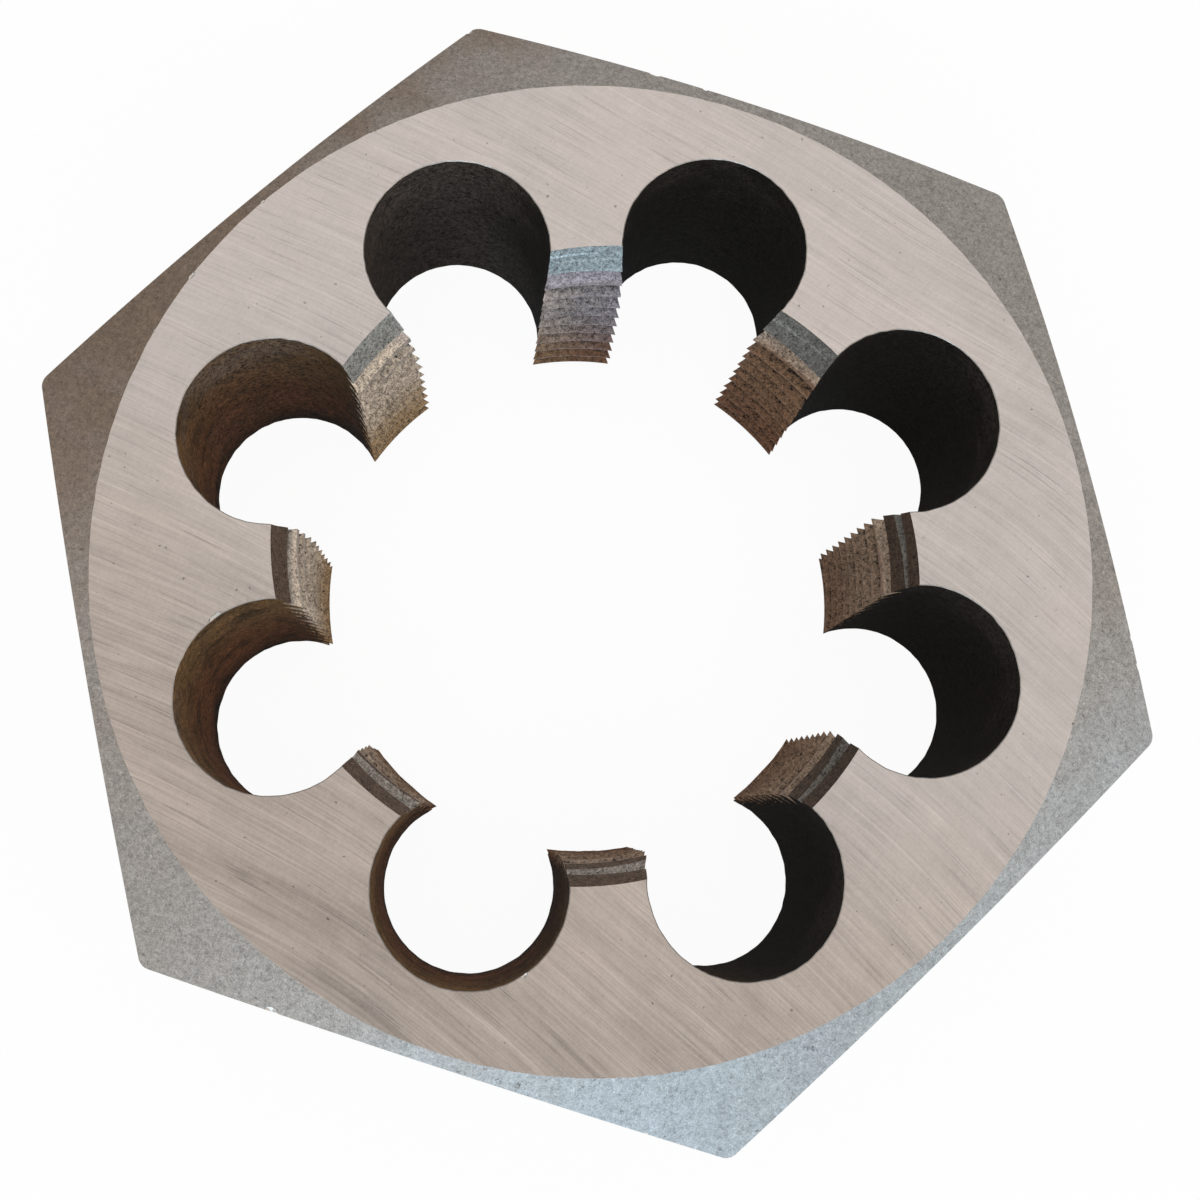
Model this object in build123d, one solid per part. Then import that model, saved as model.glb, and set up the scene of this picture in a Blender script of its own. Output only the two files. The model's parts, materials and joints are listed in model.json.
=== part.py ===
from build123d import *
import math
import os

# A hexagon pipe die: one steel blank with a tapered, threaded bore and a ring of
# chip holes that open into it. What stays between two holes is a cutting land.
# Millimetres. +Z up, origin on the axis in the exit face, which the die lies on.
# The flats face +Y and -Y, and two corners lie on X. The pipe enters from above.

# Hexagon blank
across_flats = 79.375
thickness = 25.4
corner_radius = 1.0
face_circle_inset = 0.98
corner_chamfer_angle = 19.0

# Tapered pipe thread, right hand, 11.5 threads to the inch
pitch = 25.4 / 11.5
taper_on_diameter = 1 / 16
flank_angle = 30.0
thread_height_in_pitches = 0.8
exit_crest_radius = 22.05
crest_height_on_x = 0.925

# Mouths of the bore: the radius at which each cone would meet its face, and its slope
# from the axis. The countersink and the throat, where the pipe enters, are relieved,
# so that each land falls away behind its cutting edge
countersink_radius = 24.96
countersink_slope = 30.0
throat_radius = 23.67
throat_slope = 8.0
relief_offset = 1.6
exit_radius = 22.65
exit_slope = 12.0

# Chip holes
chip_hole_count = 8
chip_hole_diameter = 14.8
chip_hole_setback = 4.87
first_chip_hole_angle = 41.89

# Worked out from the sizes above
thread_height = thread_height_in_pitches * pitch
thread_flat = pitch / 2 - thread_height * math.tan(math.radians(flank_angle))
corner_reach = across_flats / math.sqrt(3)
face_circle_radius = across_flats / 2 - face_circle_inset
chip_hole_circle_radius = exit_crest_radius + chip_hole_setback
hole_spacing = 360 / chip_hole_count
first_land_angle = first_chip_hole_angle - hole_spacing / 2

# Where the turned surfaces begin: on a flat of the hexagon, and in the gap of a chip
# hole, so that no land and no corner is split
seam_angle = 5.0

# How much of a turn the mouth of one land is cut over: past the land on both sides, but
# short of the next land's cut
mouth_sector = hole_spacing - seam_angle

# How far a cutting solid runs past what it cuts
overrun = 2.0


def crest_radius(height):
    """The bore's radius over the thread crests, at a height above the exit face."""
    return exit_crest_radius + height * taper_on_diameter / 2


def turned(outline):
    """A solid of revolution round the die's axis, from a closed outline of radius and height."""
    solid = revolve(Plane.XZ * make_face(outline), axis=Axis.Z)
    return Rot(0, 0, seam_angle) * solid


def hexagon_blank():
    """The hexagon bar length, with rounded corners and both ends chamfered in the lathe."""
    hexagon = RegularPolygon(radius=corner_reach, side_count=6)
    bar = extrude(fillet(hexagon.vertices(), corner_radius), amount=thickness)
    drop = (corner_reach - face_circle_radius) * math.tan(math.radians(corner_chamfer_angle))
    lower_rim = (face_circle_radius, 0)
    lower_corner = (corner_reach, drop)
    upper_corner = (corner_reach, thickness - drop)
    upper_rim = (face_circle_radius, thickness)
    # Each chamfer is straight, but drawn as a Bezier, so that its arcs on the flats
    # are free curves: as hyperbolas they overflow in distance measurements
    outline = Polyline(lower_rim, (0, 0), (0, thickness), upper_rim)
    outline += Bezier(lower_rim, lower_corner)
    outline += Line(lower_corner, upper_corner)
    outline += Bezier(upper_corner, upper_rim)
    return bar & turned(outline)


def bore_core():
    """What is drilled out before threading, just clear of the smallest thread crest."""
    core = Cylinder(exit_crest_radius - thread_flat, thickness + 2 * overrun)
    return Pos(0, 0, thickness / 2) * core


def chip_holes():
    """The ring of plain holes, drilled right through, which open into the bore."""
    hole = Pos(0, 0, thickness / 2) * Cylinder(chip_hole_diameter / 2, thickness + 2 * overrun)
    ring = []
    for number in range(chip_hole_count):
        angle = first_chip_hole_angle + number * hole_spacing
        ring.append(Rot(0, 0, angle) * Pos(chip_hole_circle_radius, 0, 0) * hole)
    return ring


def thread_comb(crest_height):
    """The thread's section on one land: a tapered row of 60 degree teeth as a cutting face."""
    half_flat = thread_flat / 2
    turns_below = math.ceil((crest_height + overrun) / pitch)
    turns_above = math.ceil((thickness - crest_height + overrun) / pitch)
    points = []
    for turn in range(-turns_below, turns_above):
        crest = crest_height + turn * pitch
        root = crest + pitch / 2
        points.append((crest_radius(crest - half_flat), crest - half_flat))
        points.append((crest_radius(crest + half_flat), crest + half_flat))
        points.append((crest_radius(root - half_flat) + thread_height, root - half_flat))
        points.append((crest_radius(root + half_flat) + thread_height, root + half_flat))
    inner_radius = exit_crest_radius - 2 * thread_height
    points.append((inner_radius, points[-1][1]))
    points.append((inner_radius, points[0][1]))
    return Plane.XZ * make_face(Polyline(points, close=True))


def land_threads():
    """The cut of the thread on each land: the comb carried along the land's share of a turn."""
    rise = pitch / chip_hole_count
    path = Helix(pitch=pitch, height=rise, radius=exit_crest_radius)
    cuts = []
    for number in range(chip_hole_count):
        angle = first_land_angle + number * hole_spacing
        crest_height = crest_height_on_x + pitch * angle / 360
        cut = sweep(thread_comb(crest_height), path=path, is_frenet=True)
        cuts.append(Rot(0, 0, angle - hole_spacing / 2) * Pos(0, 0, -rise / 2) * cut)
    return cuts


def mouth_cutter(mouth_radius, slope_angle, sector):
    """A cone that opens upwards, has the mouth's radius at height 0, and narrows to inside the bore."""
    slope = math.tan(math.radians(slope_angle))
    depth = (mouth_radius - exit_crest_radius + overrun) / slope
    foot_radius = mouth_radius - depth * slope
    rim_radius = mouth_radius + overrun * slope
    upwards = (Align.NONE, Align.NONE, Align.MIN)
    cone = Cone(foot_radius, rim_radius, depth + overrun, arc_size=sector, align=upwards)
    return Pos(0, 0, -depth) * Rot(0, 0, -sector / 2) * cone


def entry_mouth():
    """The countersink and throat of each land, turned off centre towards the land's heel."""
    cuts = []
    for radius, slope_angle in ((countersink_radius, countersink_slope), (throat_radius, throat_slope)):
        turning_radius = math.hypot(radius, relief_offset)
        cutter = Pos(0, -relief_offset, thickness) * mouth_cutter(turning_radius, slope_angle, mouth_sector)
        for number in range(chip_hole_count):
            cuts.append(Rot(0, 0, first_land_angle + number * hole_spacing) * cutter)
    return cuts


def exit_mouth():
    """The slim cone at the face that the finished pipe end comes out of."""
    full_turn = 360
    return Rot(0, 0, seam_angle) * Rot(180, 0, 0) * mouth_cutter(exit_radius, exit_slope, full_turn)


def hex_die():
    """The whole die, cut in a toolmaker's order: bore, chip holes, thread, mouths."""
    die = hexagon_blank() - bore_core()
    die = die - chip_holes()
    die = die - land_threads()
    return die - entry_mouth() - exit_mouth()


os.makedirs("parts", exist_ok=True)
export_step(hex_die(), "parts/hex_die.step")
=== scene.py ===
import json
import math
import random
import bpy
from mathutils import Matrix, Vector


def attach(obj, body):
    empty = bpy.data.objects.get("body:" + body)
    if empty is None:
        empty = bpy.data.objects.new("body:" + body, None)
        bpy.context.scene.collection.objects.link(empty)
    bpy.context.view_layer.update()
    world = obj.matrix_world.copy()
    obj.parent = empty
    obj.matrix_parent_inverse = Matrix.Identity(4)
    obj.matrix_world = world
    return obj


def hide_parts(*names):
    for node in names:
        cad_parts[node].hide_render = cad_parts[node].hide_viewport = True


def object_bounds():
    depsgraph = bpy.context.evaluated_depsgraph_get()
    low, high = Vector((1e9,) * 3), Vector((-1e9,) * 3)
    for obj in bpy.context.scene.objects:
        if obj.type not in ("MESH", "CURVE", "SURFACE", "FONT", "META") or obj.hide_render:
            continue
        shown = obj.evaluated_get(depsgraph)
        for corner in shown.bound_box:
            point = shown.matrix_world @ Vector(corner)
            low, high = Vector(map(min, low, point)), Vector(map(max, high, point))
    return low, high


bl_info = {
    "name": "Hex pipe die",
    "version": (1, 0, 0),
    "blender": (4, 5, 0),
    "location": "View3D > Sidebar > Hex die",
    "description": "A hexagon pipe die with toothed cutting lands, its steel finishes and its stage",
    "category": "Object",
}

import bmesh
import bpy
from bpy.props import FloatProperty, FloatVectorProperty, IntProperty, PointerProperty
from mathutils import Matrix, Vector, noise

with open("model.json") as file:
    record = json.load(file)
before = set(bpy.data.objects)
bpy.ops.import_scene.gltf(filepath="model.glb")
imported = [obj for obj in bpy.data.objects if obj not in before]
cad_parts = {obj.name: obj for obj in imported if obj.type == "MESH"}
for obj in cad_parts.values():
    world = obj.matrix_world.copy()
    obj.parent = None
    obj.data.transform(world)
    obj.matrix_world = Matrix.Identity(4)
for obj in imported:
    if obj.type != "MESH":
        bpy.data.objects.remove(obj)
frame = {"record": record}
CAD_LOW, CAD_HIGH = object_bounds()
NODE = "hex_die"
BODY = "root"
MM = 0.001


def hole_centres():
    """The chip holes' axes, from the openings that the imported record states."""
    centres = []
    for opening in frame["record"]["physics"]["openings"]:
        if opening["name"].startswith("chip_hole"):
            low, high = opening["box_m"]
            centres.append(((low[0] + high[0]) / 2, (low[1] + high[1]) / 2))
    return centres


HOLES = hole_centres()
THICKNESS = CAD_HIGH.z - CAD_LOW.z
ACROSS_FLATS = CAD_HIGH.y - CAD_LOW.y
CORNER_REACH = ACROSS_FLATS / math.sqrt(3)
HALF_SIDE = math.radians(30)  # half the angle that a side of the hexagon takes up
HOLE_SPACING = math.tau / len(HOLES)
FIRST_LAND = math.atan2(HOLES[0][1], HOLES[0][0]) - HOLE_SPACING / 2
TOP = THICKNESS / MM  # height of the entry face in the finishes, which reckon in millimetres


# Sizes and colours that a user would change

class BlankSizes(bpy.types.PropertyGroup):
    """The hexagon blank and what the lathe takes off it"""

    corner_radius: FloatProperty(
        name="Corner radius", description="Rounding of the six upright corners",
        default=1.0 * MM, unit="LENGTH", precision=5)
    face_circle_radius: FloatProperty(
        name="Face circle", description="Radius at which a face ends and its corner chamfer begins",
        default=ACROSS_FLATS / 2 - 0.98 * MM, unit="LENGTH", precision=5)
    chamfer_angle: FloatProperty(
        name="Chamfer angle", description="Slope of the corner chamfer from the face",
        default=math.radians(19.0), subtype="ANGLE")
    chip_hole_radius: FloatProperty(
        name="Chip hole radius", description="Radius of the holes that open into the bore",
        default=7.4 * MM, unit="LENGTH", precision=5)
    edge_break: FloatProperty(
        name="Edge break", description="Width of the worn edge along the hole rims",
        default=0.07 * MM, unit="LENGTH", precision=5)
    edge_waver: FloatProperty(
        name="Edge waver", description="How far a turned or drilled rim strays from a true circle",
        default=0.05 * MM, unit="LENGTH", precision=5)
    nick_count: IntProperty(
        name="Nicks", description="Small dents knocked into the edges", default=48, min=0)
    nick_size: FloatProperty(
        name="Nick size", description="Half the length of a middling nick",
        default=0.20 * MM, unit="LENGTH", precision=5)


class ThreadSizes(bpy.types.PropertyGroup):
    """The taper thread on the cutting lands and the mouths of the bore"""

    pitch: FloatProperty(
        name="Pitch", description="Distance from one tooth to the next",
        default=25.4 / 11.5 * MM, unit="LENGTH", precision=6)
    exit_crest_radius: FloatProperty(
        name="Exit crest radius", description="Bore radius over the teeth at the exit face",
        default=22.05 * MM, unit="LENGTH", precision=5)
    taper: FloatProperty(
        name="Taper", description="Growth of the radius for each unit of height", default=1 / 32)
    crest_height: FloatProperty(
        name="First crest", description="Height of the lowest crest on the X axis",
        default=0.925 * MM, unit="LENGTH", precision=5)
    sink_radius: FloatProperty(
        name="Countersink radius", description="Radius of the countersink at the entry face",
        default=24.96 * MM, unit="LENGTH", precision=5)
    sink_slope: FloatProperty(
        name="Countersink slope", description="Slope of the countersink from the axis",
        default=math.radians(30.0), subtype="ANGLE")
    throat_radius: FloatProperty(
        name="Throat radius", description="Radius at which the throat would meet the entry face",
        default=23.67 * MM, unit="LENGTH", precision=5)
    throat_slope: FloatProperty(
        name="Throat slope", description="Slope of the cut-back first teeth from the axis",
        default=math.radians(8.0), subtype="ANGLE")
    relief: FloatProperty(
        name="Relief", description="How far off centre the mouth of a land is turned, towards its heel",
        default=1.6 * MM, unit="LENGTH", precision=5)
    exit_radius: FloatProperty(
        name="Exit radius", description="Radius of the slim cone at the exit face",
        default=22.65 * MM, unit="LENGTH", precision=5)
    exit_slope: FloatProperty(
        name="Exit slope", description="Slope of the slim cone at the exit face from the axis",
        default=math.radians(12.0), subtype="ANGLE")
    tooth_wear: FloatProperty(
        name="Tooth wear", description="Unevenness of the teeth along a land",
        default=0.05 * MM, unit="LENGTH", precision=6)


class SteelColours(bpy.types.PropertyGroup):
    """The colours of the die's surfaces, as linear values"""

    ground: FloatVectorProperty(
        name="Ground face", description="Surface-ground steel of the two faces",
        default=(0.470, 0.415, 0.368), subtype="COLOR")
    blasted: FloatVectorProperty(
        name="Blasted steel", description="Grainy steel of the chamfers and flats",
        default=(0.315, 0.292, 0.272), subtype="COLOR")
    # Painted reflection: a bluish tint on the lower right of the chamfers and flats, where cool light falls
    blasted_cool_reflection: FloatVectorProperty(
        name="Cool blasted steel", description="Bluish side of the chamfers and flats",
        default=(0.335, 0.366, 0.390), subtype="COLOR")
    # Painted shade: darker and brownish on the left side of the chamfers and flats, where less light falls
    blasted_warm_shade: FloatVectorProperty(
        name="Warm blasted steel", description="Brownish stain on the chamfers and flats",
        default=(0.190, 0.142, 0.108), subtype="COLOR")
    # Painted light: these two colours stand in for warm light falling on the black scale of the chip holes
    # on one side of the die
    scale_lit_brown: FloatVectorProperty(
        name="Brown scale", description="Rusty heat-treatment scale, low in the chip holes",
        default=(0.158, 0.068, 0.033), subtype="COLOR")
    scale_lit_olive: FloatVectorProperty(
        name="Olive scale", description="Yellowish scale, high in the chip holes",
        default=(0.148, 0.084, 0.037), subtype="COLOR")
    # Also used for the painted shade deep in the chip holes
    scale_black: FloatVectorProperty(
        name="Black scale", description="Scale of the dark chip holes, and the dark parts of the rusty ones",
        default=(0.012, 0.0095, 0.007), subtype="COLOR")
    # Painted reflection: a greyish sheen along the rims and in one chip hole, where light glances off the
    # scale
    scale_painted_reflection: FloatVectorProperty(
        name="Haze on the scale", description="Thin greyish film along the rims and in one chip hole",
        default=(0.160, 0.128, 0.112), subtype="COLOR")
    # Partly painted warm light: the pale lands are at the left, facing the warm light
    tooth: FloatVectorProperty(
        name="Tooth steel", description="Cut steel on the flanks of the pale lands",
        default=(0.400, 0.330, 0.265), subtype="COLOR")
    # Partly painted shade: these lands face away from the light, and they also keep more scale
    tooth_dark: FloatVectorProperty(
        name="Dark tooth steel", description="Flanks of the lands that kept more scale",
        default=(0.160, 0.086, 0.046), subtype="COLOR")
    # Partly painted reflection: this land, at the top, faces the bluish light
    tooth_cool: FloatVectorProperty(
        name="Cool tooth steel", description="Purplish grey flanks of one land",
        default=(0.200, 0.184, 0.205), subtype="COLOR")
    tooth_brown: FloatVectorProperty(
        name="Brown tooth steel", description="Scale on the last teeth, at the exit",
        default=(0.145, 0.066, 0.034), subtype="COLOR")
    # Partly temper colour and partly a painted reflection of the bluish light
    sink: FloatVectorProperty(
        name="Countersink", description="Bluish turned steel in the countersink of one land",
        default=(0.370, 0.455, 0.500), subtype="COLOR")
    # Made lighter by painted light on the lands at the left
    sink_grey: FloatVectorProperty(
        name="Grey countersink", description="Turned steel of the lands beside the bluish one",
        default=(0.180, 0.178, 0.168), subtype="COLOR")
    # Partly scale and partly painted shade on the lands at the right
    sink_brown: FloatVectorProperty(
        name="Brown countersink", description="Scale left in the countersink on the other lands",
        default=(0.122, 0.080, 0.056), subtype="COLOR")
    bright: FloatVectorProperty(
        name="Bright steel", description="Bare steel in nicks, on the hole rims and in some first grooves",
        default=(0.520, 0.490, 0.460), subtype="COLOR")


class StageSettings(bpy.types.PropertyGroup):
    """Camera and floor"""

    camera_place: FloatVectorProperty(
        name="Camera", description="Where the camera stands",
        default=(-2.204 * MM, -26.095 * MM, 162.532 * MM), subtype="TRANSLATION", precision=5)
    camera_turn: FloatVectorProperty(
        name="Camera turn", description="Euler angles of the camera",
        default=(math.radians(11.5101), math.radians(-2.8835), math.radians(17.7015)), subtype="EULER")
    lens: FloatProperty(
        name="Focal length", description="For a 36 mm sensor", default=54.315)
    shift: FloatVectorProperty(
        name="Shift", description="Lens shift that frames the die as in the photograph",
        default=(0.03609, -0.07810), size=2, precision=5)
    floor_size: FloatProperty(
        name="Floor", description="Side of the pale floor", default=3.0, unit="LENGTH")


# Shader maths as Python expressions

class Wire:
    """One shader socket that takes part in arithmetic, so that a mask reads as a formula."""

    def __init__(self, nodes, socket):
        self.nodes = nodes
        self.socket = socket

    def _sum(self, operation, first, second=None):
        return self.nodes.node("ShaderNodeMath", {"operation": operation}, {0: first, 1: second})

    def __add__(self, other):
        return self._sum("ADD", self, other)

    __radd__ = __add__

    def __mul__(self, other):
        return self._sum("MULTIPLY", self, other)

    __rmul__ = __mul__

    def __sub__(self, other):
        return self._sum("SUBTRACT", self, other)

    def __rsub__(self, other):
        return self._sum("SUBTRACT", other, self)

    def fraction(self):
        """What is left after the whole number."""
        return self._sum("FRACT", self)

    def size(self):
        """The number without its sign."""
        return self._sum("ABSOLUTE", self)

    def swing(self, reach):
        """Noise from 0 to 1 turned into a change from minus to plus half the reach."""
        return (self - 0.5) * reach

    def clamp(self):
        """Held between 0 and 1."""
        return self.nodes.node("ShaderNodeClamp", {}, {0: self})

    def between(self, low, high):
        """0 below low, 1 above high, and a smooth step from one to the other."""
        return self.nodes.node(
            "ShaderNodeMapRange", {"interpolation_type": "SMOOTHSTEP"},
            {"Value": self, "From Min": low, "From Max": high})


class NodeTree:
    """The nodes of a material or a world, which is cleared and then built up node by node."""

    def __init__(self, owner):
        owner.use_nodes = True
        self.tree = owner.node_tree
        self.tree.nodes.clear()

    def node(self, kind, settings=None, sockets=None, output=0):
        """Adds a node, with its settings first and then its sockets, and returns one of its outputs."""
        made = self.tree.nodes.new(kind)
        for key, value in (settings or {}).items():
            setattr(made, key, value)
        for key, value in (sockets or {}).items():
            if isinstance(value, Wire):
                self.tree.links.new(value.socket, made.inputs[key])
            elif value is not None:
                made.inputs[key].default_value = value
        return Wire(self, made.outputs[output]) if len(made.outputs) else None


class Finish(NodeTree):
    """One procedural steel finish."""

    def __init__(self, name):
        self.material = bpy.data.materials.new(name)
        super().__init__(self.material)

    def place(self):
        """The point on the object, in millimetres."""
        here = self.node("ShaderNodeTexCoord", output="Object")
        return self.node("ShaderNodeVectorMath", {"operation": "SCALE"}, {0: here, "Scale": 1 / MM})

    def axis(self, vector, name):
        """One of a vector's three numbers."""
        return self.node("ShaderNodeSeparateXYZ", {}, {0: vector}, output=name)

    def bearing(self, arm):
        """The angle round the Z axis at which a vector points."""
        return self.node(
            "ShaderNodeMath", {"operation": "ARCTAN2"},
            {0: self.axis(arm, "Y"), 1: self.axis(arm, "X")})

    def toward(self, point, x, y):
        """How far a point lies in a direction across the die."""
        return self.node(
            "ShaderNodeVectorMath", {"operation": "DOT_PRODUCT"},
            {0: point, 1: (x, y, 0.0)}, output="Value")

    def vector(self, x, y, z):
        """A vector from three numbers."""
        return self.node("ShaderNodeCombineXYZ", {}, {0: x, 1: y, 2: z})

    def speckle(self, vector, scale, detail=2.0, roughness=0.5):
        """Noise from 0 to 1, with scale patches to the millimetre."""
        return self.node(
            "ShaderNodeTexNoise", {},
            {"Vector": vector, "Scale": scale, "Detail": detail, "Roughness": roughness})

    def streaks(self, vector, factors, scale=1.0, detail=2.0, roughness=0.6):
        """Noise drawn out along each of the vector's numbers whose factor is small."""
        drawn_out = self.node("ShaderNodeVectorMath", {"operation": "MULTIPLY"}, {0: vector, 1: factors})
        return self.speckle(drawn_out, scale, detail, roughness)

    def blend(self, amount, first, second):
        """Two colours mixed by an amount."""
        ready = [colour if isinstance(colour, Wire) else (*colour, 1.0) for colour in (first, second)]
        return self.node(
            "ShaderNodeMix", {"data_type": "RGBA"}, {0: amount, 6: ready[0], 7: ready[1]}, output=2)

    def shade(self, colour, light):
        """A colour made lighter or darker by a number round 1."""
        return self.node("ShaderNodeVectorMath", {"operation": "SCALE"}, {0: colour, "Scale": light})

    def finish(self, colour, roughness, metallic, height, depth, specular=0.5):
        """Closes the material with its surface shader and its relief."""
        normal = self.node("ShaderNodeBump", {}, {"Height": height, "Distance": depth, "Strength": 1.0})
        surface = self.node(
            "ShaderNodeBsdfPrincipled", {},
            {"Base Color": colour, "Roughness": roughness, "Metallic": metallic, "Normal": normal,
             "Specular IOR Level": specular})
        self.node("ShaderNodeOutputMaterial", {}, {"Surface": surface})
        return self.material


def tinted(colour, *factors):
    """A colour whose red, green and blue are scaled by a factor each, or all three by the same one."""
    if len(factors) == 1:
        factors = factors * 3
    return [value * factor for value, factor in zip(colour, factors)]


# Finishes of the blank and its chip holes

# centre and radius, in millimetres, of the arcs that the wheel left, and of an earlier pass across them
WHEEL = ((-53.4, -203.2, 0.0), 210.0)
EARLIER_WHEEL = ((160.0, -20.0, 0.0), 180.0)


def wheel_marks(steel, here, centre, radius):
    """Place across and along the arcs round a far centre that a grinding wheel leaves, in millimetres."""
    arm = steel.node("ShaderNodeVectorMath", {"operation": "SUBTRACT"}, {0: here, 1: centre})
    across = steel.node("ShaderNodeVectorMath", {"operation": "LENGTH"}, {0: arm}, output="Value")
    wander = steel.speckle(here, 0.022, 1.0) * 7.0
    return steel.vector(across + wander, steel.bearing(arm) * radius, 0.0)


def ground_steel(colours):
    """Surface-ground steel: long shallow arcs from the wheel, with scratches, smears and pits, and painted
    shade that makes it darker and warmer towards the bottom and cooler towards the top.
    """
    steel = Finish("ground_steel")
    here = steel.place()
    lines = wheel_marks(steel, here, *WHEEL)
    cross = wheel_marks(steel, here, *EARLIER_WHEEL)
    broad = steel.streaks(lines, (0.60, 0.022, 1.0))
    middle = steel.streaks(lines, (2.1, 0.045, 1.0), detail=3.0)
    thin = steel.streaks(lines, (6.5, 0.10, 1.0))
    crossing = steel.streaks(cross, (3.2, 0.06, 1.0))
    dark_line = steel.streaks(lines, (3.3, 0.075, 1.0), 1.7, 1.0, 0.5).between(0.63, 0.72)
    light_line = steel.streaks(lines, (3.9, 0.06, 1.0), 1.3, 1.0, 0.5).between(0.62, 0.72)
    smudge = steel.streaks(lines, (0.28, 0.035, 1.0), 1.0, 4.0, 0.65).between(0.50, 0.68)
    cloud = steel.speckle(here, 0.05, 3.0, 0.6)
    smear = steel.speckle(here, 0.5, 3.0, 0.6)
    grit = steel.speckle(here, 4.5, 3.0, 0.7)
    pit = steel.speckle(here, 2.2, 1.0).between(0.74, 0.80)
    # Painted shade: the face is darker towards the bottom, and its smears darken more there
    low = steel.toward(here, -0.15, -0.99).between(-6.0, 34.0)

    streaky = broad.swing(0.34) + middle.swing(0.44) + thin.swing(0.46)
    streaky = streaky - dark_line * 0.14 + light_line * 0.12
    light = 1.0 + streaky * (0.75 + low * 0.30) + crossing.swing(0.08) - low * 0.19
    light = light + grit.swing(0.26) + smear.swing(0.16) + cloud.swing(0.24) - pit * 0.3
    light = light - smudge * (0.03 + low * 0.10)
    # Painted light: a cooler tint towards the top of the face and a warmer one towards the bottom
    high_tint = tinted(colours.ground, 1.0, 1.03, 1.10)
    low_tint = tinted(colours.ground, 1.0, 0.965, 0.96)
    tint = steel.blend((low + cloud.swing(0.8) + broad.swing(0.4)).clamp(), high_tint, low_tint)
    roughness = 0.38 + middle.swing(0.16) + broad.swing(0.16) + pit * 0.2
    return steel.finish(
        steel.shade(tint, light), roughness, 1.0,
        height=middle * 0.6 + thin * 0.4 - dark_line * 0.5 - pit * 0.8, depth=0.014 * MM)


def blasted_steel(colours):
    """Grainy matt steel of the chamfers and flats, with painted glints and dark specks, painted brownish
    shade on the left side, a painted bluish reflection on the lower right and painted light towards the
    bottom.
    """
    steel = Finish("blasted_steel")
    here = steel.place()
    grain = steel.speckle(here, 2.6, 4.0, 0.75)
    fine = steel.speckle(here, 8.0, 2.0, 0.7)
    blotch = steel.speckle(here, 0.8, 2.0, 0.6)
    stain = steel.speckle(here, 0.10, 3.0, 0.6)
    dark = steel.speckle(here, 1.9, 2.0, 0.6).between(0.66, 0.74)
    # Painted highlights: small glints on the grain
    glint = steel.speckle(here, 3.8, 1.0).between(0.66, 0.76)
    # Painted shade: brownish and darker on the chamfers at the left, mottled by the stain noise
    left = steel.toward(here, -0.995, 0.099) + stain.swing(60.0)
    # Painted reflection: bluish on the chamfers at the lower right
    near = steel.toward(here, 0.680, -0.733) + stain.swing(16.0)
    # Painted light: a little brighter towards the bottom, where the brownish shade gives way
    low = steel.toward(here, -0.200, -0.980).between(5.0, 40.0)

    light = 1.04 + grain.swing(1.55) + fine.swing(1.30) + blotch.swing(0.30)
    light = light + stain.swing(0.30) - dark * 0.34 + glint * 0.40
    colour = steel.blend(left.between(14.0, 46.0) * (1.0 - low * 0.7), colours.blasted, colours.blasted_warm_shade)
    colour = steel.blend(near.between(18.0, 40.0), colour, colours.blasted_cool_reflection)
    return steel.finish(
        steel.shade(colour, light * (1.0 + low * 0.12)), 0.50 + grain.swing(0.2), 0.75,
        height=grain * 0.7 + fine * 0.3 - dark * 0.6 + blotch * 0.4, depth=0.05 * MM)


def hole_scale(colours):
    """Heat-treatment scale on the chip holes' walls: black, with painted warm light that turns it brown and
    olive on one side of the die, painted shade deep in the holes, a painted grey reflection along the rims
    and in one hole, and painted light towards the lower left.
    """
    scale = Finish("hole_scale")
    here = scale.place()
    height = scale.axis(here, "Z")
    mottle = scale.speckle(here, 0.30, 4.0, 0.65)
    patch = scale.speckle(here, 0.12, 2.0, 0.5)
    blot = scale.speckle(here, 1.1, 4.0, 0.75)
    grain = scale.speckle(here, 2.8, 4.0, 0.75)
    fine = scale.speckle(here, 8.0, 2.0, 0.7)
    pit = scale.speckle(here, 1.5, 2.0, 0.6).between(0.62, 0.70)
    # Where the painted warm light falls: the chip holes at the left and, less, at the bottom
    left = (scale.toward(here, -0.850, -0.530) + patch.swing(8.0)).between(9.0, 22.0)
    front = scale.toward(here, -0.300, -0.954).between(17.0, 23.0)
    # Painted light: the walls are a little brighter towards the lower left
    far = scale.toward(here, -0.600, -0.800).between(14.0, 28.0)
    # One chip hole that gets a painted grey reflection
    reflecting_hole = (scale.toward(here, -0.750, 0.660) + patch.swing(8.0)).between(24.0, 33.0)
    upper = (height + mottle.swing(16.0)).between(5.0, 24.0)
    # Painted shade: black low in the holes, towards the exit face
    deep = 1.0 - (height + mottle.swing(6.0)).between(0.5, 6.0)
    # The band along the entry rims that gets a painted grey reflection
    rim = (height + patch.swing(46.0) + mottle.swing(10.0)).between(TOP - 5.0, TOP + 6.0)

    # Painted warm light in brown and olive, with black patches of scale and black painted shade deep down
    warm_lit = (left + front * 0.4).clamp()
    black_patches_and_deep_shade = ((mottle * 0.6 + blot * 0.4).between(0.47, 0.62) * 0.7 + deep * 0.6).clamp()
    lit_scale = scale.blend(upper, colours.scale_lit_brown, colours.scale_lit_olive)
    lit_scale = scale.blend(black_patches_and_deep_shade, lit_scale, colours.scale_black)
    colour = scale.blend(warm_lit, colours.scale_black, lit_scale)
    colour = scale.blend((rim * (0.08 + warm_lit * 0.2) + reflecting_hole * 0.3).clamp(), colour, colours.scale_painted_reflection)
    light = 1.04 + far * 0.30 + grain.swing(5.2) + fine.swing(3.6) + blot.swing(2.0) - pit * 0.5
    return scale.finish(
        scale.shade(colour, light), 0.85 + grain.swing(0.2), 0.0,
        height=grain * 0.6 + fine * 0.4 - pit, depth=0.05 * MM, specular=0.12)


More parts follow.
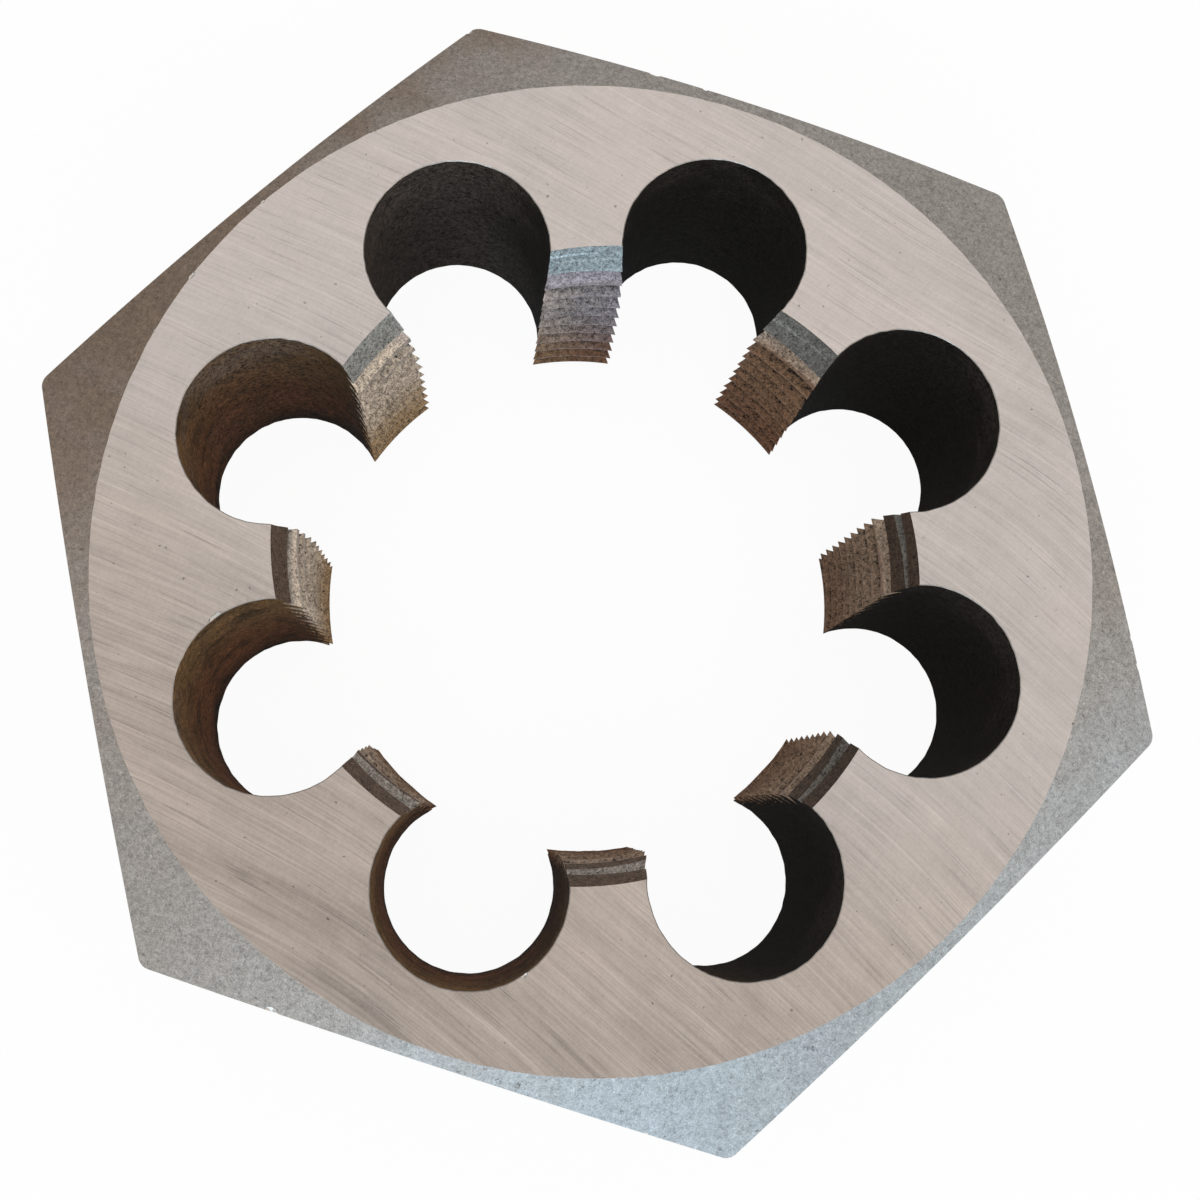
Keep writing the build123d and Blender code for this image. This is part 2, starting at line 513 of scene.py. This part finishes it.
def bright_steel(colours):
    """Bare steel in fresh nicks and on the hole rims."""
    steel = Finish("bright_steel")
    grain = steel.speckle(steel.place(), 5.0, 2.0, 0.6)
    return steel.finish(
        steel.shade(colours.bright, 0.8 + grain * 0.4), 0.38, 1.0, height=grain, depth=0.02 * MM)


# Finishes of the cutting lands

class LandFinish(Finish):
    """What all surfaces of the cutting lands share: their tints, partly painted light and shade, their grain
    and pits, and grooves darkened by painted shade and dirt.
    """

    def __init__(self, name, colours, thread):
        super().__init__(name)
        self.colours = colours
        self.here = self.place()
        self.height = self.axis(self.here, "Z")
        self.patch = self.speckle(self.here, 0.35, 3.0, 0.6)
        # Land-by-land tints, partly temper and scale and partly painted light: the lands at the left face
        # the warm light and are paler, the land at the top faces the bluish light, and the lands at the
        # right face away and get painted shade
        self.pale = (self.toward(self.here, -0.9955, 0.0953) + self.patch.swing(10.0)).between(5.0, 20.0)
        self.cool_side = self.toward(self.here, -0.349, 0.937)
        self.cool = self.cool_side.between(17.5, 21.0)
        self.right = self.toward(self.here, 0.950, 0.310).between(4.0, 20.0)
        self._marks(thread)

    def _marks(self, thread):
        """Sets light and relief from the grain, the pits, and the painted shade and dirt in the grooves,
        heavier on the lands that the painted light leaves out.
        """
        # Painted shade with dirt: grooves and pits darken more on the lands that are neither pale nor cool
        shade_and_dirt = (1.0 - self.pale * 0.55) * (1.0 - self.cool * 0.8)
        turn = self.bearing(self.here) * (1 / math.tau)
        wave = ((self.height - thread.crest_height / MM) * (1 / (thread.pitch / MM)) - turn).fraction()
        crest = (wave - 0.5).size() * 2.0
        grain = self.speckle(self.here, 2.8, 4.0, 0.8)
        fine = self.speckle(self.here, 7.0, 2.0, 0.7)
        streak = self.streaks(self.here, (2.4, 2.4, 0.35))
        smooth = self.height.between(TOP - 5.2, TOP - 4.0)
        # Painted shade and dirt in the roots of the thread, but not on the first flank by the entry
        groove = (1.0 - (crest + streak.swing(0.5)).between(0.40, 0.90)) * (1.0 - smooth)
        pit = (self.speckle(self.here, 3.6, 2.0, 0.6) + groove * 0.12).between(0.62, 0.69)
        light = 1.08 + grain.swing(3.4) + fine.swing(2.8) + streak.swing(0.6)
        self.light = light - pit * (0.12 + shade_and_dirt * 0.45) - groove * (0.26 + shade_and_dirt * 0.20)
        self.relief = grain * 0.7 + fine * 0.3 - pit * 0.6

    def mouth_colour(self):
        """Bluish steel in the countersink of one land, grey beside it and brown with scale on the others,
        partly temper and scale and partly painted light: a painted bluish reflection on the land at the top,
        painted light on the grey lands at the left and painted shade on the brown lands at the right.
        """
        beside = self.cool_side + self.speckle(self.here, 0.2, 3.0, 0.6).swing(4.0)
        # Painted light on the grey lands at the left and painted shade on the brown lands at the right
        grey = self.shade(self.colours.sink_grey, 1.0 + self.pale * 0.85)
        brown = self.shade(self.colours.sink_brown, 1.0 - self.right * 0.45)
        colour = self.blend(beside.between(7.0, 17.0), brown, grey)
        return self.blend(beside.between(19.5, 24.0), colour, self.colours.sink)

    def run_out(self, colour):
        """A colour up to the first groove's run-out, which is bare steel on the scaled lands."""
        # Painted shade: the bare steel is darker on the lands at the right
        bare = self.shade(tinted(self.colours.bright, 0.48, 0.46, 0.44), 1.0 - self.right * 0.60)
        groove = self.blend(self.cool_side.between(2.0, 10.0), bare, self.mouth_colour())
        return self.blend(self.height.between(TOP - 3.0, TOP - 2.6), colour, groove)


def tooth_steel(colours, thread):
    """Cut steel on the flanks, tinted land by land partly as painted light and shade, fresh near the entry
    and brown at the exit.
    """
    steel = LandFinish("tooth_steel", colours, thread)
    right = steel.toward(steel.here, 0.985, -0.170).between(8.0, 20.0)
    lower = steel.toward(steel.here, -0.100, -0.995).between(6.0, 18.0)
    last = 1.0 - (steel.height + steel.patch.swing(9.0)).between(3.0, 16.0)
    fresh = (steel.height + steel.patch.swing(4.0)).between(TOP - 6.0, TOP - 3.4)
    # The fresh steel is fainter on the lands at the right and stronger on the pale and cool ones, following
    # the painted light
    fresh = fresh * (0.5 + (steel.pale + steel.cool).clamp() * 0.5) * (1.0 - right * 0.5)

    # Land-by-land tints, partly painted light and shade
    greyed = tinted(colours.tooth_dark, 1.20, 1.50, 1.90)
    colour = steel.blend((right + lower).clamp(), colours.tooth_dark, greyed)
    colour = steel.blend(steel.cool, colour, colours.tooth_cool)
    colour = steel.blend(steel.pale, colour, colours.tooth)
    yellowed = tinted(colours.tooth, 0.74, 0.58, 0.38)
    last_colour = steel.blend(steel.pale, colours.tooth_brown, yellowed)
    colour = steel.blend(last * (1.0 - right * 0.6), colour, last_colour)
    fresh_colour = steel.blend(steel.pale, tinted(colours.tooth, 1.1), tinted(colours.tooth, 1.25))
    fresh_colour = steel.blend(steel.cool, fresh_colour, tinted(colours.tooth_cool, 1.5))
    colour = steel.run_out(steel.blend(fresh, colour, fresh_colour))
    return steel.finish(
        steel.shade(colour, steel.light), 0.55, 0.4, height=steel.relief, depth=0.05 * MM, specular=0.3)


def crest_steel(colours, thread):
    """Worn line along the crest of each tooth, dull where scale is left."""
    steel = LandFinish("crest_steel", colours, thread)
    # The crests follow the land-by-land tints, partly painted light and shade
    colour = steel.blend(steel.pale, tinted(colours.tooth_dark, 1.7), tinted(colours.tooth, 1.15))
    colour = steel.blend(steel.cool, colour, tinted(colours.tooth_cool, 2.2))
    colour = steel.blend(1.0 - steel.height.between(1.0, 4.0), colour, colours.tooth_brown)
    return steel.finish(
        steel.shade(steel.run_out(colour), steel.light * 0.85), 0.45, 0.5,
        height=steel.relief, depth=0.03 * MM)


def sink_steel(colours, thread):
    """Turned steel of the countersink, with rings and a darker foot."""
    steel = LandFinish("sink_steel", colours, thread)

    def ring(depth, core, edge):
        """A pale ring that was turned at a depth below the entry face."""
        return 1.0 - (steel.height - (TOP - depth)).size().between(core, edge)

    rings = steel.speckle(steel.vector(steel.height, 0.0, 0.0), 2.6, 2.0, 0.6)
    pale_rings = (ring(1.2, 0.04, 0.20) * 0.22 + ring(2.2, 0.06, 0.26) * 0.32) * steel.cool
    foot = 1.0 - steel.height.between(TOP - 2.95, TOP - 2.75)
    light = steel.light + rings.swing(0.6) + pale_rings - foot * 0.25
    return steel.finish(
        steel.shade(steel.mouth_colour(), light), 0.45, 0.45,
        height=steel.relief + rings * 0.6, depth=0.04 * MM, specular=0.3)


# Mesh helpers

SPARE = 2.0 * MM  # how far a cutter stands past the die
CLOSE = 0.01 * MM  # points this near to a radius belong to its circle
WELD = 0.0001 * MM  # points this near to each other become one


def new_piece(name, shape, *materials):
    """An object at the origin from a finished bmesh, which is freed."""
    bmesh.ops.triangulate(shape, faces=shape.faces)
    mesh = bpy.data.meshes.new(name)
    shape.to_mesh(mesh)
    shape.free()
    for material in materials:
        mesh.materials.append(material)
    piece = bpy.data.objects.new(name, mesh)
    bpy.context.scene.collection.objects.link(piece)
    return piece


def turned(shape, points, steps=360, centre=(0.0, 0.0)):
    """Adds a closed solid turned round an upright axis, from points of radius and height that end on it."""
    x, y = centre
    corners = [shape.verts.new((x + radius, y, height)) for radius, height in points]
    profile = [shape.edges.new(pair) for pair in zip(corners, corners[1:])]
    bmesh.ops.spin(
        shape, geom=corners + profile, cent=(x, y, 0), axis=(0, 0, 1),
        angle=math.tau, steps=steps, use_merge=True)
    bmesh.ops.remove_doubles(shape, verts=shape.verts, dist=WELD)
    bmesh.ops.recalc_face_normals(shape, faces=shape.faces)


def swept(shape, outline, start, angle, centre=(0, 0, 0), rise=0.0, steps=40):
    """Adds a closed solid: an outline of radius and height, put at its start and carried round and up."""
    corners = [shape.verts.new((radius, 0.0, height)) for radius, height in outline]
    section = shape.faces.new(corners)
    bmesh.ops.transform(shape, matrix=start, verts=corners)
    bmesh.ops.spin(
        shape, geom=[section] + list(section.edges) + corners, cent=centre, axis=(0, 0, 1),
        angle=angle, steps=steps, dvec=(0, 0, rise / steps))


def waver(shape, radius, reach, fineness, centre=(0.0, 0.0)):
    """Moves the points of a circle in and out by smooth noise, so that no rim is a perfect circle."""
    for point in shape.verts:
        arm = point.co - Vector((*centre, point.co.z))
        if abs(arm.length - radius) < CLOSE:
            point.co += arm.normalized() * noise.noise(point.co * fineness / MM) * reach


def cut(piece, cutter, operation="DIFFERENCE"):
    """Cuts one piece by another, whose material then shows on the cut faces, and drops the cutter."""
    tool = piece.modifiers.new("cut", "BOOLEAN")
    tool.object = cutter
    tool.operation = operation
    tool.solver = "EXACT"
    tool.material_mode = "TRANSFER"
    bpy.context.view_layer.update()
    scene_now = bpy.context.evaluated_depsgraph_get()
    result = bpy.data.meshes.new_from_object(piece.evaluated_get(scene_now))
    piece.modifiers.remove(tool)
    worn_out = piece.data
    piece.data = result
    bpy.data.meshes.remove(worn_out)
    check_closed(piece, cutter.name)
    bpy.data.meshes.remove(cutter.data)  # its object goes with it


def check_closed(piece, step):
    """Stops the script when a cut has left a piece empty or open."""
    shape = bmesh.new()
    shape.from_mesh(piece.data)
    gaps = sum(not edge.is_manifold for edge in shape.edges)
    if not shape.faces or gaps:
        raise RuntimeError(f"{piece.name} after {step}: {len(shape.faces)} faces, {gaps} open edges")
    shape.free()


def crest_radius(sizes, height):
    """The bore's radius over the teeth at a height above the exit face."""
    return sizes.exit_crest_radius + height * sizes.taper


# The blank

FACE_STEPS = 540  # sides of the turned circles
HOLE_STEPS = 180
FACE_WAVES = 1.1  # patches of the waver to the millimetre, on the face circle
HOLE_WAVES = 1.3  # and on the hole rims
LEVEL = 0.999  # a face whose normal points up or down at least this much is an end face
UPRIGHT = 0.1  # and one at most this much is a wall


def hexagon_bar(sizes):
    """Hexagon bar, longer than the die at both ends, with rounded corners."""
    shape = bmesh.new()
    bmesh.ops.create_circle(shape, cap_ends=True, segments=6, radius=CORNER_REACH)
    bmesh.ops.rotate(shape, verts=shape.verts, cent=(0, 0, 0), matrix=Matrix.Rotation(HALF_SIDE, 3, "Z"))
    bmesh.ops.translate(shape, verts=shape.verts, vec=(0, 0, -SPARE))
    raised = bmesh.ops.extrude_face_region(shape, geom=shape.faces[:])["geom"]
    lifted = [part for part in raised if isinstance(part, bmesh.types.BMVert)]
    bmesh.ops.translate(shape, verts=lifted, vec=(0, 0, THICKNESS + 2 * SPARE))
    upright = [edge for edge in shape.edges if abs(edge.verts[0].co.z - edge.verts[1].co.z) > SPARE]
    bmesh.ops.bevel(
        shape, geom=upright, offset=sizes.corner_radius * math.tan(HALF_SIDE),
        offset_type="OFFSET", segments=10, profile=0.5, affect="EDGES", material=-1)
    bmesh.ops.recalc_face_normals(shape, faces=shape.faces)
    return shape


def turned_blank(sizes):
    """What the lathe leaves of the bar: two faces and the corner chamfers."""
    shape = bmesh.new()
    rim = sizes.face_circle_radius
    drop = (CORNER_REACH - rim) * math.tan(sizes.chamfer_angle)
    turned(
        shape,
        [
            (0, 0),
            (rim, 0),
            (CORNER_REACH, drop),
            (CORNER_REACH, THICKNESS - drop),
            (rim, THICKNESS),
            (0, THICKNESS),
        ],
        steps=FACE_STEPS)
    waver(shape, rim, sizes.edge_waver, FACE_WAVES)
    for face in shape.faces:
        face.material_index = 0 if abs(face.normal.z) > LEVEL else 1
    return shape


def chip_hole_drills(sizes):
    """One drill for each chip hole, right through the blank and flared at both rims."""
    shape = bmesh.new()
    radius = sizes.chip_hole_radius
    flare = sizes.edge_break
    for centre in HOLES:
        turned(
            shape,
            [
                (0, -SPARE),
                (radius + flare + SPARE, -SPARE),
                (radius, flare),
                (radius, THICKNESS - flare),
                (radius + flare + SPARE, THICKNESS + SPARE),
                (0, THICKNESS + SPARE),
            ],
            steps=HOLE_STEPS, centre=centre)
        waver(shape, radius, sizes.edge_waver, HOLE_WAVES, centre)
    for face in shape.faces:
        face.material_index = 0 if abs(face.normal.z) < UPRIGHT else 1
    return shape


# Nicks in the edges

# side of the hexagon that it faces, distance along it from the middle, size
BIG_NICKS = [
    (math.radians(270), -12.49 * MM, 0.60 * MM),
    (math.radians(90), 7.44 * MM, 0.34 * MM),
    (math.radians(90), 3.15 * MM, 0.24 * MM),
]
NICK_SEED = 11
BACK_SHARE = 0.35  # of the nicks, on the exit side
NICK_CLEARANCE = 8  # least distance between two nicks, in nick sizes
NICK_SPREAD = (0.4, 1.0)  # drawn and squared, so that most nicks are small
LARGEST_NICK = 1.8  # in nick sizes
LUMP_SIDES = ((0.6, 1.0), (1.0, 2.2), (0.4, 0.9))  # least and most of a lump's depth, length and height
LUMP_LEAN = 0.5  # most that a lump is turned, in radians
LUMP_KNOBS = 0.3  # how far its points stray, as a share of its radius


def edge_place(sizes, side, along):
    """The point of the front outline on one side of the hexagon, so far along from its middle."""
    radius = math.hypot(ACROSS_FLATS / 2, along)
    fall = max(0.0, radius - sizes.face_circle_radius) * math.tan(sizes.chamfer_angle)
    return Matrix.Rotation(side, 3, "Z") @ Vector((ACROSS_FLATS / 2, along, THICKNESS - fall))


def nick_places(sizes, draw):
    """Points and headings on the outer edges, the face's rim and the hole rims of both ends, in turn."""
    reach = math.tan(HALF_SIDE) * ACROSS_FLATS / 2
    for number in range(sizes.nick_count):
        kind = number % 3
        turn = draw.uniform(0, math.tau)
        if kind == 0:
            side = math.radians(30 + 60 * draw.randrange(6))
            place = edge_place(sizes, side, draw.uniform(-reach, reach))
            turn = side
        elif kind == 1:
            radius = sizes.face_circle_radius
            place = Vector((radius * math.cos(turn), radius * math.sin(turn), THICKNESS))
        else:
            x, y = draw.choice(HOLES)
            radius = sizes.chip_hole_radius + sizes.edge_break
            place = Vector((x + radius * math.cos(turn), y + radius * math.sin(turn), THICKNESS))
        if draw.random() < BACK_SHARE:
            place.z = THICKNESS - place.z
        yield place, turn


def nick_punches(sizes):
    """A small knobbly lump at each nick, which dents the edge that it lies on."""
    shape = bmesh.new()
    draw = random.Random(NICK_SEED)
    struck = []
    for side, along, size in BIG_NICKS:
        struck.append((edge_place(sizes, side, along), side, size))
    for place, turn in nick_places(sizes, draw):
        if all((place - other[0]).length > NICK_CLEARANCE * sizes.nick_size for other in struck):
            struck.append((place, turn, sizes.nick_size * draw.uniform(*NICK_SPREAD) ** 2 * LARGEST_NICK))
    for place, turn, size in struck:
        squash = Matrix.Diagonal((*[draw.uniform(*ends) for ends in LUMP_SIDES], 1.0))
        angle = draw.uniform(-LUMP_LEAN, LUMP_LEAN)
        lean = Matrix.Rotation(angle, 4, Vector([draw.uniform(-1, 1) for _ in range(3)]))
        lump = bmesh.ops.create_icosphere(
            shape, subdivisions=1, radius=size,
            matrix=Matrix.Translation(place) @ lean @ Matrix.Rotation(turn, 4, "Z") @ squash)
        for point in lump["verts"]:
            point.co += (point.co - place) * noise.noise(point.co * 3 / MM) * LUMP_KNOBS
    bmesh.ops.recalc_face_normals(shape, faces=shape.faces)
    return shape


# The bore and its cutting lands

TOOTH_HEIGHT = 0.8  # of the pitch
FLANK_ANGLE = math.radians(30)
COMB_HALF_ANGLE = math.radians(14)
MOUTH_HALF_ANGLE = math.radians(20)
BORE_CLEARANCE = 0.08 * MM  # between the drilled bore and the smallest crest
MOUTH_OVERLAP = 0.3 * MM  # how far the mouths' cutters reach inside the smallest crest
CREST_BAND = 0.02 * MM  # faces nearer to the crests than this have the crests' finish
WORN_BAND = 0.1 * MM  # points further inside the crests than this are left unworn
SHARP_EDGE = math.radians(8)


def bore_drill(sizes):
    """The drilled bore, just clear of the smallest crest."""
    shape = bmesh.new()
    radius = sizes.exit_crest_radius - BORE_CLEARANCE
    turned(shape, [(0, -SPARE), (radius, -SPARE), (radius, THICKNESS + SPARE), (0, THICKNESS + SPARE)])
    return shape


def comb_outline(sizes, first):
    """A row of teeth that reaches past both faces, as points of radius and height."""
    height = TOOTH_HEIGHT * sizes.pitch
    flat = sizes.pitch / 2 - height * math.tan(FLANK_ANGLE)
    below = math.ceil((first + sizes.pitch) / sizes.pitch)
    above = math.ceil((THICKNESS - first + sizes.pitch) / sizes.pitch)
    points = []
    for turn in range(-below, above):
        crest = first + turn * sizes.pitch
        root = crest + sizes.pitch / 2
        for centre, deep in ((crest, 0.0), (root, height)):
            for side in (-flat / 2, flat / 2):
                points.append((crest_radius(sizes, centre + side) + deep, centre + side))
    back = sizes.exit_crest_radius - 2 * height
    return points + [(back, points[-1][1]), (back, points[0][1])]


def thread_combs(sizes):
    """The cutting comb of each land: a row of 60 degree teeth carried along the helix."""
    shape = bmesh.new()
    rise = sizes.pitch * COMB_HALF_ANGLE / math.pi
    for number in range(len(HOLES)):
        angle = FIRST_LAND + number * HOLE_SPACING
        outline = comb_outline(sizes, sizes.crest_height + sizes.pitch * angle / math.tau)
        start = Matrix.Translation((0, 0, -rise / 2)) @ Matrix.Rotation(angle - COMB_HALF_ANGLE, 4, "Z")
        swept(shape, outline, start, 2 * COMB_HALF_ANGLE, rise=rise)
    bmesh.ops.recalc_face_normals(shape, faces=shape.faces)
    for face in shape.faces:
        middle = face.calc_center_median()
        depth = middle.xy.length - crest_radius(sizes, middle.z)
        face.material_index = 0 if depth > CREST_BAND else 1
    for point in shape.verts:
        if point.co.xy.length > sizes.exit_crest_radius - WORN_BAND:
            worn = 0.5 + noise.noise(point.co * 0.9 / MM) + 0.5 * noise.noise(point.co * 2.6 / MM)
            point.co += Vector((*point.co.xy, 0)).normalized() * worn * sizes.tooth_wear
    return shape


def entry_mouth(sizes):
    """The countersink and throat of each land, turned off centre towards the land's heel."""
    shape = bmesh.new()
    inner = sizes.exit_crest_radius - MOUTH_OVERLAP
    sink = math.hypot(sizes.sink_radius, sizes.relief)
    throat = math.hypot(sizes.throat_radius, sizes.relief)
    sink_fall = math.tan(sizes.sink_slope)
    throat_fall = math.tan(sizes.throat_slope)
    sink_depth = (sink - throat) / (sink_fall - throat_fall)
    outline = [
        (inner, THICKNESS - (throat - inner) / throat_fall),
        (sink - sink_depth * sink_fall, THICKNESS - sink_depth),
        (sink + SPARE * sink_fall, THICKNESS + SPARE),
        (inner, THICKNESS + SPARE),
    ]
    for number in range(len(HOLES)):
        land = Matrix.Rotation(FIRST_LAND + number * HOLE_SPACING, 4, "Z")
        centre = land @ Vector((0, -sizes.relief, 0))
        start = Matrix.Translation(centre) @ land @ Matrix.Rotation(-MOUTH_HALF_ANGLE, 4, "Z")
        swept(shape, outline, start, 2 * MOUTH_HALF_ANGLE, centre)
    bmesh.ops.recalc_face_normals(shape, faces=shape.faces)
    for face in shape.faces:
        face.material_index = 0 if face.calc_center_median().z > THICKNESS - sink_depth else 1
    return shape


def exit_mouth(sizes):
    """The slim cone at the exit face."""
    shape = bmesh.new()
    fall = math.tan(sizes.exit_slope)
    inner = sizes.exit_crest_radius - MOUTH_OVERLAP
    foot = (sizes.exit_radius - inner) / fall
    turned(shape, [(0, -SPARE), (sizes.exit_radius + SPARE * fall, -SPARE), (inner, foot), (0, foot)])
    return shape


class DIE_OT_blank(bpy.types.Operator):
    """Cut the die from hexagon bar: faces, chamfers, chip holes, threaded lands and mouths"""

    bl_idname = "die.blank"
    bl_label = "Hexagon die"

    def execute(self, context):
        scene = context.scene
        blank, thread, colours = scene.die_blank, scene.die_thread, scene.die_colours
        ground = ground_steel(colours)
        blasted = blasted_steel(colours)
        scale = hole_scale(colours)
        tooth = tooth_steel(colours, thread)
        crest = crest_steel(colours, thread)
        sink = sink_steel(colours, thread)
        bright = bright_steel(colours)
        die = new_piece("hex_die_steel", hexagon_bar(blank), blasted)
        cut(die, new_piece("turning", turned_blank(blank), ground, blasted), "INTERSECT")
        cut(die, new_piece("drills", chip_hole_drills(blank), scale, bright))
        cut(die, new_piece("punches", nick_punches(blank), bright))
        cut(die, new_piece("bore", bore_drill(thread), crest))
        cut(die, new_piece("combs", thread_combs(thread), tooth, crest))
        cut(die, new_piece("mouth", entry_mouth(thread), sink, crest))
        cut(die, new_piece("exit", exit_mouth(thread), crest))
        die.data.shade_smooth()
        die.data.set_sharp_from_angle(angle=SHARP_EDGE)
        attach(die, BODY)
        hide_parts(NODE)
        return {"FINISHED"}


# The stage

# name, place, side of its square, what it shows when looked into, colour
LAMPS = [
    ("lamp_overhead", (0.0, 0.22, 0.65), 0.80, 0.72, (1.0, 0.985, 0.97)),
    ("lamp_front", (0.08, -0.50, 0.52), 0.42, 3.2, (0.70, 0.87, 1.0)),
    ("lamp_left", (-0.50, -0.10, 0.45), 0.30, 0.9, (1.0, 0.93, 0.86)),
    ("lamp_right", (0.55, -0.06, 0.42), 0.32, 2.0, (1.0, 0.90, 0.78)),
]
PAPER = (0.83, 0.83, 0.83, 1.0)
ROOM = (1.0, 0.97, 0.94, 1.0)
ROOM_LIGHT = 0.55
WHITE = (1.0, 1.0, 1.0, 1.0)


class DIE_OT_stage(bpy.types.Operator):
    """Set up the pale floor, the soft lamps and the camera at the photograph's viewing angle"""

    bl_idname = "die.stage"
    bl_label = "Stage"

    def execute(self, context):
        settings = context.scene.die_stage
        self.camera(context, settings)
        self.floor(settings)
        for lamp in LAMPS:
            self.lamp(*lamp)
        self.world(context)
        context.scene.view_settings.view_transform = "Standard"
        return {"FINISHED"}

    def camera(self, context, settings):
        view = bpy.data.cameras.new("camera")
        view.sensor_width = 36.0
        view.lens = settings.lens
        view.shift_x, view.shift_y = settings.shift
        view.clip_start = 0.01
        camera = bpy.data.objects.new("camera", view)
        camera.location = settings.camera_place
        camera.rotation_euler = settings.camera_turn
        context.scene.collection.objects.link(camera)
        context.scene.camera = camera

    def floor(self, settings):
        """Matt paper that the camera sees as white, and gloss as a little lighter than it is."""
        shape = bmesh.new()
        bmesh.ops.create_grid(shape, x_segments=1, y_segments=1, size=settings.floor_size / 2)
        paper = Finish("pale_paper")
        seen = paper.node("ShaderNodeLightPath", output="Is Camera Ray")
        mirrored = paper.node("ShaderNodeLightPath", output="Is Glossy Ray")
        matt = paper.node("ShaderNodeBsdfDiffuse", {}, {"Color": PAPER})
        white = paper.node("ShaderNodeEmission", {}, {"Color": WHITE, "Strength": 1.0})
        amount = (seen * 0.95 + mirrored * 0.2).clamp()
        mix = paper.node("ShaderNodeMixShader", {}, {0: amount, 1: matt, 2: white})
        paper.node("ShaderNodeOutputMaterial", {}, {"Surface": mix})
        floor = new_piece("floor", shape, paper.material)

    def lamp(self, name, place, size, brightness, colour):
        """A square soft lamp aimed at the die."""
        light = bpy.data.lights.new(name, "AREA")
        light.size = size
        light.energy = brightness * math.pi * size * size
        light.color = colour
        lamp = bpy.data.objects.new(name, light)
        lamp.location = place
        aim = Vector((0, 0, THICKNESS / 2)) - Vector(place)
        lamp.rotation_euler = aim.to_track_quat("-Z", "Y").to_euler()
        lamp.visible_camera = False
        bpy.context.scene.collection.objects.link(lamp)

    def world(self, context):
        """A room that lights the die softly and that the camera sees as white."""
        world = bpy.data.worlds.new("studio")
        room = NodeTree(world)
        seen = room.node("ShaderNodeLightPath", output="Is Camera Ray")
        light = room.node("ShaderNodeBackground", {}, {"Color": ROOM, "Strength": ROOM_LIGHT})
        white = room.node("ShaderNodeBackground", {}, {"Color": WHITE, "Strength": 1.0})
        mix = room.node("ShaderNodeMixShader", {}, {0: seen, 1: light, 2: white})
        room.node("ShaderNodeOutputWorld", {}, {"Surface": mix})
        context.scene.world = world


class DIE_PT_panel(bpy.types.Panel):
    """Lists the die's operators and its sizes"""

    bl_label = "Hex die"
    bl_idname = "DIE_PT_panel"
    bl_space_type = "VIEW_3D"
    bl_region_type = "UI"
    bl_category = "Hex die"

    def draw(self, context):
        for operator in OPERATORS:
            self.layout.operator(operator.bl_idname)
        for scene_name, group in GROUPS.items():
            box = self.layout.box()
            for name in group.__annotations__:
                box.prop(getattr(context.scene, scene_name), name)


OPERATORS = (DIE_OT_blank, DIE_OT_stage)
GROUPS = {
    "die_blank": BlankSizes,
    "die_thread": ThreadSizes,
    "die_colours": SteelColours,
    "die_stage": StageSettings,
}


def register():
    for name, group in GROUPS.items():
        bpy.utils.register_class(group)
        setattr(bpy.types.Scene, name, PointerProperty(type=group))
    for operator in OPERATORS:
        bpy.utils.register_class(operator)
    bpy.utils.register_class(DIE_PT_panel)


def unregister():
    bpy.utils.unregister_class(DIE_PT_panel)
    for operator in reversed(OPERATORS):
        bpy.utils.unregister_class(operator)
    for name, group in GROUPS.items():
        delattr(bpy.types.Scene, name)
        bpy.utils.unregister_class(group)


def main():
    register()
    bpy.ops.die.blank()
    bpy.ops.die.stage()


if __name__ == "__main__":
    main()
